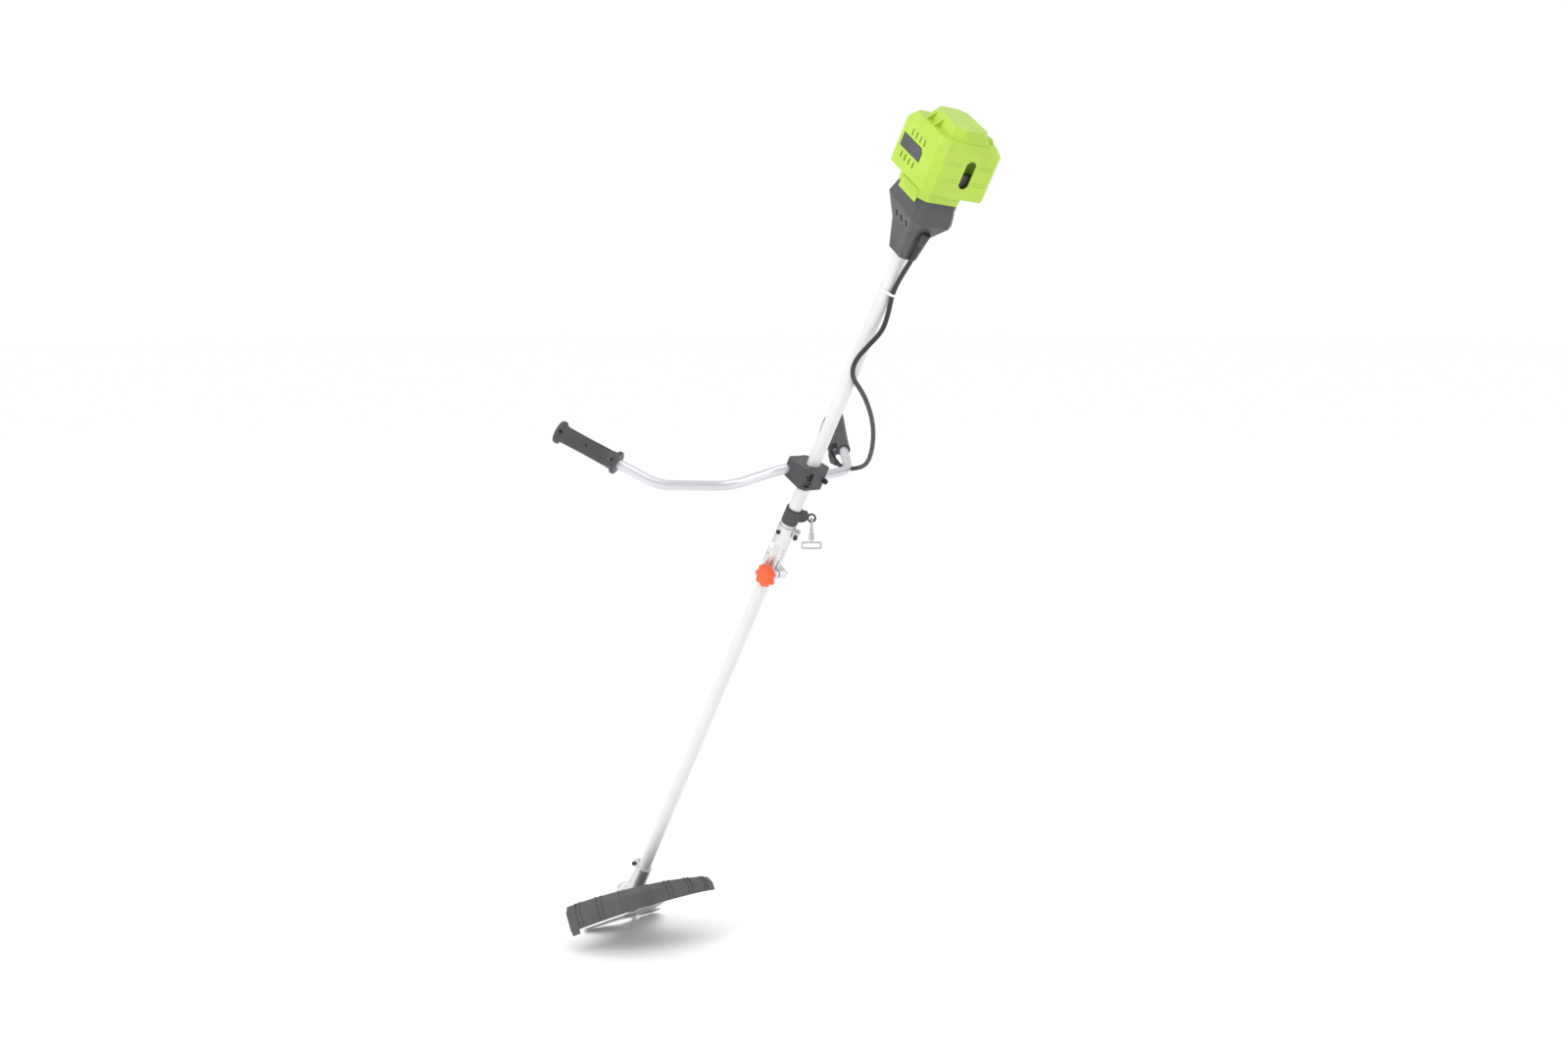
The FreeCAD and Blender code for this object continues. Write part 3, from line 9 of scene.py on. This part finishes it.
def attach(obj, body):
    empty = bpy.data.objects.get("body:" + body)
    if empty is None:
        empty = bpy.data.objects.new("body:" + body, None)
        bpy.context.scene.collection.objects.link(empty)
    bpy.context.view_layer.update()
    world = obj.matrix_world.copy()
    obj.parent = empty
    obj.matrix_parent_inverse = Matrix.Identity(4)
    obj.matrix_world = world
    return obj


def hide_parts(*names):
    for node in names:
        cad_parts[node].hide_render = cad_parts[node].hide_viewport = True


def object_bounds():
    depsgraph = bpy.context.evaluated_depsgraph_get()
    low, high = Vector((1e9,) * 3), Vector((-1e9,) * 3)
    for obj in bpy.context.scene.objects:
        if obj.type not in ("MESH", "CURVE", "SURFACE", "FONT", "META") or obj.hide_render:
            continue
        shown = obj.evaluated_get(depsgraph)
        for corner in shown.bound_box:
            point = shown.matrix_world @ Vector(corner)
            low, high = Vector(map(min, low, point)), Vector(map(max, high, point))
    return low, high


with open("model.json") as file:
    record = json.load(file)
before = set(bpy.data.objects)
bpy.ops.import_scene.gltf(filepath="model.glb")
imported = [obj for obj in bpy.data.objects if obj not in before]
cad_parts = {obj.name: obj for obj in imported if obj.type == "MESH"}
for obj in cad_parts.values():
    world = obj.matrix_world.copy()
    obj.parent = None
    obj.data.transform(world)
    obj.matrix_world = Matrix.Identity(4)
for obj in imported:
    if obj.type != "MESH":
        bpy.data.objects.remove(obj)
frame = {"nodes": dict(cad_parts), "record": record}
cad_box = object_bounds()

# ---------------------------------------------------------------- the tool's own frame

LEAN = math.radians(31.0)
EYELET = Vector((0.033775, -0.0195, -0.099))      # the harness ring, in the tool's frame
TO_ROW = Matrix.Rotation(LEAN, 4, "X") @ Matrix.Translation(-EYELET)

SLOTS = {part["node"]: part["material_slot"] for part in frame["record"]["subparts"]}
BODIES = frame["record"]["behaviour"]["bodies"]
BODY_OF = {node: body for body, nodes in BODIES.items() for node in nodes}


# ---------------------------------------------------------------- camera, lights and floor

SENSOR_WIDTH, LENS = 36.0, 44.23       # in mm
CAMERA_PLACE = (-2.4808, -2.7783, 0.4249)
CAMERA_LOOK = Vector((0.6508, 0.7503, -0.1159))
FAR_CLIP = 200.0

WHITE = (1.0, 1.0, 1.0, 1.0)
ROOM_LIGHT, ROOM_SEEN = 0.80, 1.0      # what the surround lights with, and how bright it looks
TOP_LIGHT, TOP_SPREAD = 0.75, math.radians(60.0)
TOP_TURN = (math.radians(8.0), math.radians(-10.0), 0.0)
SOFT_BOXES = {                         # place, width and height, power
    "left": ((-2.9, 0.4, 1.4), (1.6, 2.4), 34.0),
    "right": ((2.2, -2.4, 1.2), (0.8, 2.0), 12.0),
}
FLOOR_REACH = 60.0
FLOOR_COLOUR, FLOOR_ROUGHNESS = (0.985, 0.985, 0.985, 1.0), 0.7


def link(name, data):
    thing = bpy.data.objects.new(name, data)
    bpy.context.scene.collection.objects.link(thing)
    return thing


def add_camera():
    """Camera at the viewing angle: in front and to the left of the tool, a little above the bar."""
    data = bpy.data.cameras.new("camera")
    data.sensor_width = SENSOR_WIDTH
    data.lens = LENS
    data.clip_end = FAR_CLIP
    camera = link("camera", data)
    camera.location = CAMERA_PLACE
    camera.rotation_euler = CAMERA_LOOK.to_track_quat("-Z", "Y").to_euler()
    bpy.context.scene.camera = camera


def add_soft_box(name, place, size, power):
    """Area light that faces the row frame's origin."""
    data = bpy.data.lights.new(name, "AREA")
    data.shape = "RECTANGLE"
    data.size, data.size_y = size
    data.energy = power
    light = link(name, data)
    light.location = place
    light.rotation_euler = (-Vector(place)).to_track_quat("-Z", "Y").to_euler()


def add_studio():
    """White room: a pale surround, a broad top light, and soft boxes to the left and right."""
    world = bpy.data.worlds.new("studio")
    world.use_nodes = True
    background = world.node_tree.nodes["Background"]
    background.inputs["Color"].default_value = WHITE
    seen = world.node_tree.nodes.new("ShaderNodeLightPath")
    strength = world.node_tree.nodes.new("ShaderNodeMapRange")
    strength.inputs["To Min"].default_value = ROOM_LIGHT
    strength.inputs["To Max"].default_value = ROOM_SEEN
    world.node_tree.links.new(seen.outputs["Is Camera Ray"], strength.inputs["Value"])
    world.node_tree.links.new(strength.outputs["Result"], background.inputs["Strength"])
    bpy.context.scene.world = world
    bpy.context.scene.view_settings.view_transform = "Standard"
    data = bpy.data.lights.new("top", "SUN")
    data.energy = TOP_LIGHT
    data.angle = TOP_SPREAD
    top = link("top", data)
    top.rotation_euler = TOP_TURN
    for name, (place, size, power) in SOFT_BOXES.items():
        add_soft_box(name, place, size, power)


def add_floor():
    """Plain floor at the tool's lowest point."""
    lowest = cad_box[0][2]
    sides = ((-1, -1), (1, -1), (1, 1), (-1, 1))
    corners = [(FLOOR_REACH * x, FLOOR_REACH * y, lowest) for x, y in sides]
    mesh = bpy.data.meshes.new("floor")
    mesh.from_pydata(corners, [], [(0, 1, 2, 3)])
    floor = link("floor", mesh)
    material, shader, _ = new_material("floor_paint")
    shader.inputs["Base Color"].default_value = FLOOR_COLOUR
    shader.inputs["Roughness"].default_value = FLOOR_ROUGHNESS
    mesh.materials.append(material)


# ---------------------------------------------------------------- materials

COLOUR_STOPS = (0.25, 0.75)            # the noise values between which a colour changes
ROUGHNESS_STOPS = (0.3, 0.7)
GRAIN_DEPTH, PEEL_DEPTH = 0.0002, 0.0001


def new_material(name):
    material = bpy.data.materials.new(name)
    material.use_nodes = True
    shader = material.node_tree.nodes["Principled BSDF"]
    return material, shader, material.node_tree


def noise(tree, scale, detail, stretch=(1.0, 1.0, 1.0)):
    """Noise in the row frame: scale is in cells to the metre, drawn out along an axis by its stretch."""
    place = tree.nodes.new("ShaderNodeTexCoord")
    mapping = tree.nodes.new("ShaderNodeMapping")
    mapping.inputs["Scale"].default_value = stretch
    texture = tree.nodes.new("ShaderNodeTexNoise")
    texture.inputs["Scale"].default_value = scale
    texture.inputs["Detail"].default_value = detail
    tree.links.new(place.outputs["Object"], mapping.inputs["Vector"])
    tree.links.new(mapping.outputs["Vector"], texture.inputs["Vector"])
    return texture.outputs["Fac"]


def scaled(colour, factor):
    return (*[min(1.0, channel * factor) for channel in colour], 1.0)


def vary_colour(tree, shader, factor, colour, darkest, lightest):
    """The colour, from its darkest to its lightest share, as the factor rises."""
    node = tree.nodes.new("ShaderNodeValToRGB")
    ramp = node.color_ramp
    ramp.interpolation = "EASE"
    for stop, position, share in zip(ramp.elements, COLOUR_STOPS, (darkest, lightest)):
        stop.position = position
        stop.color = scaled(colour, share)
    tree.links.new(factor, node.inputs["Fac"])
    tree.links.new(node.outputs["Color"], shader.inputs["Base Color"])


def vary_roughness(tree, shader, factor, low, high):
    node = tree.nodes.new("ShaderNodeMapRange")
    limits = zip(("From Min", "From Max", "To Min", "To Max"), (*ROUGHNESS_STOPS, low, high))
    for socket, value in limits:
        node.inputs[socket].default_value = value
    tree.links.new(factor, node.inputs["Value"])
    tree.links.new(node.outputs["Result"], shader.inputs["Roughness"])


def raise_bump(tree, shader, factor, strength, depth):
    node = tree.nodes.new("ShaderNodeBump")
    node.inputs["Strength"].default_value = strength
    node.inputs["Distance"].default_value = depth
    tree.links.new(factor, node.inputs["Height"])
    tree.links.new(node.outputs["Normal"], shader.inputs["Normal"])


def plastic(name, colour, rough=(0.42, 0.55), grain=1400.0, bump=0.25, spread=0.10, coat=0.0):
    """Moulded plastic: spark-eroded grain, a little cloudiness and uneven gloss."""
    material, shader, tree = new_material(name)
    vary_colour(tree, shader, noise(tree, scale=22.0, detail=4.0), colour, 1 - spread, 1 + spread)
    vary_roughness(tree, shader, noise(tree, scale=60.0, detail=5.0), *rough)
    raise_bump(tree, shader, noise(tree, grain, detail=2.0), bump, GRAIN_DEPTH)
    shader.inputs["Coat Weight"].default_value = coat
    return material


def metal(name, colour, rough, grain, bump, stretch=(1.0, 1.0, 1.0), spread=0.08, metallic=1.0):
    """Metal with a grain that can be drawn out along one direction."""
    material, shader, tree = new_material(name)
    shader.inputs["Metallic"].default_value = metallic
    brushed = noise(tree, grain, 4.0, stretch)
    vary_colour(tree, shader, noise(tree, scale=35.0, detail=5.0), colour, 1 - spread, 1 + spread)
    vary_roughness(tree, shader, brushed, *rough)
    raise_bump(tree, shader, brushed, bump, GRAIN_DEPTH)
    return material


def painted(name, colour):
    """Powder coat: slight orange peel under a clear gloss."""
    material, shader, tree = new_material(name)
    vary_colour(tree, shader, noise(tree, scale=9.0, detail=3.0), colour, darkest=0.97, lightest=1.03)
    vary_roughness(tree, shader, noise(tree, scale=45.0, detail=4.0), low=0.27, high=0.31)
    raise_bump(tree, shader, noise(tree, scale=600.0, detail=1.0), 0.05, PEEL_DEPTH)
    shader.inputs["Coat Weight"].default_value = 0.35
    shader.inputs["Coat Roughness"].default_value = 0.15
    return material


def all_materials():
    """One material for each of the record's slots."""
    made = [
        plastic("lime_plastic", (0.45, 0.66, 0.060), (0.30, 0.42), bump=0.16, spread=0.05, coat=0.15),
        plastic("charcoal_plastic", (0.078, 0.079, 0.083), (0.40, 0.55)),
        plastic("black_plastic", (0.048, 0.049, 0.053), (0.34, 0.48)),
        plastic("grey_plastic", (0.30, 0.31, 0.32), (0.36, 0.5)),
        painted("shaft_white", (0.73, 0.735, 0.74)),
        metal("bar_silver", (0.66, 0.67, 0.70), (0.27, 0.33), 1600.0, 0.012, spread=0.03, metallic=0.7),
        metal("cast_aluminium", (0.74, 0.75, 0.76), (0.38, 0.55), 420.0, 0.5),
        metal("steel", (0.56, 0.56, 0.57), (0.22, 0.36), 900.0, 0.12),
        metal("dark_screw", (0.08, 0.08, 0.085), (0.3, 0.45), 900.0, 0.15),
        metal("spring_steel", (0.62, 0.62, 0.63), (0.2, 0.3), 900.0, 0.1),
        metal("blade_steel", (0.50, 0.51, 0.52), (0.25, 0.42), 700.0, 0.2, (0.12, 1.0, 1.0)),
        metal("motor_iron", (0.34, 0.20, 0.12), (0.4, 0.55), 300.0, 0.3),
        metal("chrome_screw", (0.80, 0.80, 0.82), (0.10, 0.2), 900.0, 0.05),
        plastic("red_plastic", (0.58, 0.025, 0.018), (0.24, 0.34), bump=0.08, coat=0.3),
        plastic("orange_plastic", (0.84, 0.115, 0.035), (0.36, 0.5), spread=0.06),
        plastic("cable_rubber", (0.022, 0.022, 0.024), (0.42, 0.58), 900.0, 0.3),
        plastic("white_nylon", (0.82, 0.82, 0.80), (0.32, 0.44), spread=0.03),
        metal("brass", (0.74, 0.50, 0.16), (0.2, 0.34), 900.0, 0.1),
        plastic("board_green", (0.02, 0.13, 0.05), (0.25, 0.4), spread=0.2, coat=0.4),
    ]
    # the imported frame has materials of the same names, so Blender adds a number to these
    return {material.name.split(".")[0]: material for material in made}


MATERIALS = all_materials()


# ---------------------------------------------------------------- pieces made from the frame's forms

SHARP = math.radians(26.0)             # edges that turn by more are rounded over
RIB_SHARP = math.radians(50.0)
FLAT = math.radians(0.6)
SAME_POINT = 1e-6
BEVEL_SEGMENTS = 2

# how far the edges of each node are rounded over
ROUNDED = {
    "battery_hood": 0.0013, "hood_plate": 0.0003, "bay_tray": 0.0007, "motor_housing_left": 0.0011,
    "motor_housing_right": 0.0011, "clamp_base": 0.0016, "clamp_cap": 0.0016, "left_grip_front": 0.0004,
    "left_grip_rear": 0.0004, "handle_shell_front": 0.0011, "handle_shell_rear": 0.0011,
    "throttle_lever": 0.0012, "lock_off_button": 0.0006, "power_button": 0.0006, "handle_collar": 0.0006,
    "cable_boot": 0.0008, "cable_gland": 0.0004, "harness_clamp": 0.0007, "strap_swivel": 0.0009,
    "carrier_hook": 0.0005, "coupler_body": 0.0011, "coupler_knob": 0.0010, "release_pin": 0.0004,
    "gear_case": 0.0013, "guard": 0.0004, "guard_bracket": 0.0006, "cutting_blade": 0.0004,
    "lower_flange": 0.0004, "blade_nut": 0.0005, "clamp_bolts": 0.0004, "cap_screws": 0.0003,
    "housing_screws": 0.0002, "left_grip_screws": 0.0002, "collar_screw": 0.0002,
    "locating_screw": 0.0003, "cable_tie": 0.0002, "terminal_block": 0.0005,
}


def shade(mesh, sharp_angle):
    """Smooth faces, with the edges sharper than the angle kept crisp."""
    form = bmesh.new()
    form.from_mesh(mesh)
    for face in form.faces:
        face.smooth = True
    for edge in form.edges:
        edge.smooth = len(edge.link_faces) == 2 and edge.calc_face_angle(0.0) < sharp_angle
    form.to_mesh(mesh)
    form.free()


def paint(piece, slot):
    piece.data.materials.clear()
    piece.data.materials.append(MATERIALS[slot])


def dress(piece, node):
    """The piece stands for the node: it rides on the node's body, gets the material of the node's slot,
    and the node is hidden.
    """
    paint(piece, SLOTS[node])
    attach(piece, BODY_OF[node])
    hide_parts(node)


def finished(node, move=Matrix.Identity(4)):
    """The node's form with its moulded or cast edges rounded over."""
    form = bmesh.new()
    form.from_mesh(frame["nodes"][node].data)
    bmesh.ops.remove_doubles(form, verts=form.verts, dist=SAME_POINT)
    bmesh.ops.dissolve_limit(form, angle_limit=FLAT, verts=form.verts, edges=form.edges)
    mesh = bpy.data.meshes.new("finished_" + node)
    form.to_mesh(mesh)
    form.free()
    mesh.transform(move)
    shade(mesh, SHARP)
    piece = link("finished_" + node, mesh)
    bevel = piece.modifiers.new("rounded_edges", "BEVEL")
    bevel.width = ROUNDED[node]
    bevel.segments = BEVEL_SEGMENTS
    bevel.limit_method = "ANGLE"
    bevel.angle_limit = SHARP
    bevel.harden_normals = True
    bevel.use_clamp_overlap = True
    dress(piece, node)
    return piece


def finish_nodes():
    """Rounded pieces stand for the listed nodes. The others keep their own form and get their material."""
    for node in ROUNDED:
        if node in LEFT_GRIP_NODES:
            finished(node, SCREWS_TO_VIEW)
        elif node not in CABLE_FITTINGS:
            finished(node)
    for node, piece in frame["nodes"].items():
        if node not in ROUNDED:
            paint(piece, SLOTS[node])


# ---------------------------------------------------------------- the left grip

# in the tool's frame: the grip's inner end, its direction, and its side
GRIP_START = Vector((-0.29097, 0.20028, -0.100))
GRIP_ALONG = Vector((-0.5078, 0.8615, 0.0)).normalized()
GRIP_SIDE = Vector((0.5, 0.2, 0.8))
GRIP_LENGTH = 0.134
GRIP_WAIST_R, GRIP_END_R = 0.0165, 0.0170
LEFT_GRIP_NODES = ("left_grip_front", "left_grip_rear", "left_grip_screws")
RIB_COUNT, RIB_PITCH, RIB_START = 27, 0.0033, 0.0240
RIB_HALF_WIDTH, RIB_HEIGHT = 0.0009, 0.0006
RIB_HALF_ANGLE = math.radians(42.0)
WELL_HALF_ANGLE, WELL_HALF_LENGTH = math.radians(15.0), 0.0042
RIB_STEPS = 14
RIB_SECTION = [(-1.0, -0.3), (-0.8, 0.5), (-0.3, 1.0), (0.3, 1.0), (0.8, 0.5), (1.0, -0.3)]
RIB_END_SHARE = 0.4                    # how much of its section is left at a rib's ends


def grip_frame():
    """Frame of the left grip: Z out along it, Y away from the side that its screws are to show on."""
    side = (GRIP_SIDE - GRIP_ALONG * GRIP_SIDE.dot(GRIP_ALONG)).normalized()
    back = GRIP_ALONG.cross(side)
    axes = Matrix((side, back, GRIP_ALONG)).transposed().to_4x4()
    return TO_ROW @ Matrix.Translation(GRIP_START) @ axes


GRIP_TO_ROW = grip_frame()
SCREWS_TO_VIEW = GRIP_TO_ROW @ Matrix.Rotation(math.pi, 4, "Z") @ GRIP_TO_ROW.inverted()


def add_rib(form, height, start, end):
    """One raised rib round part of the grip, with a rounded section and closed ends."""
    from_waist = abs(height - GRIP_LENGTH / 2) / (GRIP_LENGTH / 2)
    radius = GRIP_WAIST_R + (GRIP_END_R - GRIP_WAIST_R) * from_waist
    rows = []
    for step in range(RIB_STEPS + 1):
        angle = start + (end - start) * step / RIB_STEPS
        outward = Vector((math.sin(angle), -math.cos(angle), 0.0))
        taper = RIB_END_SHARE if step in (0, RIB_STEPS) else 1.0
        row = []
        for along, out in RIB_SECTION:
            point = outward * (radius + RIB_HEIGHT * out * taper)
            point.z = height + RIB_HALF_WIDTH * along * taper
            row.append(form.verts.new(point))
        rows.append(row)
    for here, there in zip(rows, rows[1:]):
        for i in range(len(RIB_SECTION)):
            j = (i + 1) % len(RIB_SECTION)
            form.faces.new((here[i], there[i], there[j], here[j]))
    form.faces.new(rows[0])
    form.faces.new(reversed(rows[-1]))


def grip_ribs():
    """Fine raised ribs between the grip's end screws, broken round the middle screw's well."""
    form = bmesh.new()
    for i in range(RIB_COUNT):
        height = RIB_START + RIB_PITCH * i
        if abs(height - GRIP_LENGTH / 2) < WELL_HALF_LENGTH:
            add_rib(form, height, -RIB_HALF_ANGLE, -WELL_HALF_ANGLE)
            add_rib(form, height, WELL_HALF_ANGLE, RIB_HALF_ANGLE)
        else:
            add_rib(form, height, -RIB_HALF_ANGLE, RIB_HALF_ANGLE)
    bmesh.ops.recalc_face_normals(form, faces=form.faces)
    mesh = bpy.data.meshes.new("left_grip_ribs")
    form.to_mesh(mesh)
    form.free()
    mesh.transform(GRIP_TO_ROW)
    shade(mesh, RIB_SHARP)
    ribs = link("left_grip_ribs", mesh)
    paint(ribs, "black_plastic")
    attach(ribs, "root")


# ---------------------------------------------------------------- the free cable

CABLE_DIAMETER, CABLE_LENGTH = 0.009, 0.855
CABLE_ROUNDNESS, CABLE_STEPS = 8, 16   # facets round a quarter of it, and steps between route points
CABLE_FITTINGS = ("cable_gland", "cable_tie", "cable_boot")
# from the power head's gland to the control handle's boot, in the tool's frame
CABLE_ROUTE = [
    (-0.0143, -0.0450, 0.5200), (-0.0103, -0.0350, 0.4800), (-0.0055, -0.0230, 0.4380),
    (-0.0028, -0.0186, 0.4040), (0.0050, -0.0210, 0.3680), (0.0030, -0.0270, 0.3320),
    (-0.0220, -0.0310, 0.3030), (-0.0350, -0.0260, 0.2680), (-0.0240, -0.0240, 0.2320),
    (0.0240, -0.0190, 0.1950), (0.0710, -0.0040, 0.1550), (0.1240, 0.0140, 0.1030),
    (0.1760, 0.0380, 0.0440), (0.2210, 0.0640, -0.0180), (0.2580, 0.0960, -0.0690),
    (0.2770, 0.1340, -0.1060), (0.2770, 0.1630, -0.1260), (0.2800, 0.1900, -0.1310),
]


def control_cable():
    """The black cable, its gland at the power head, its tie, and its boot at the control handle."""
    points = [TO_ROW @ Vector(point) for point in CABLE_ROUTE]
    curve = bpy.data.curves.new("control_cable_line", "CURVE")
    curve.dimensions = "3D"
    curve.bevel_depth = CABLE_DIAMETER / 2
    curve.bevel_resolution = CABLE_ROUNDNESS
    curve.resolution_u = CABLE_STEPS
    spline = curve.splines.new("NURBS")
    spline.points.add(len(points) - 1)
    for control, point in zip(spline.points, points):
        control.co = (*point, 1.0)
    spline.order_u = 3
    spline.use_endpoint_u = True
    cable = link("control_cable_line", curve)
    dress(cable, "control_cable")
    fittings = [finished(node) for node in CABLE_FITTINGS]


# ---------------------------------------------------------------- making


add_camera()
control_cable()
add_studio()
add_floor()
finish_nodes()
grip_ribs()
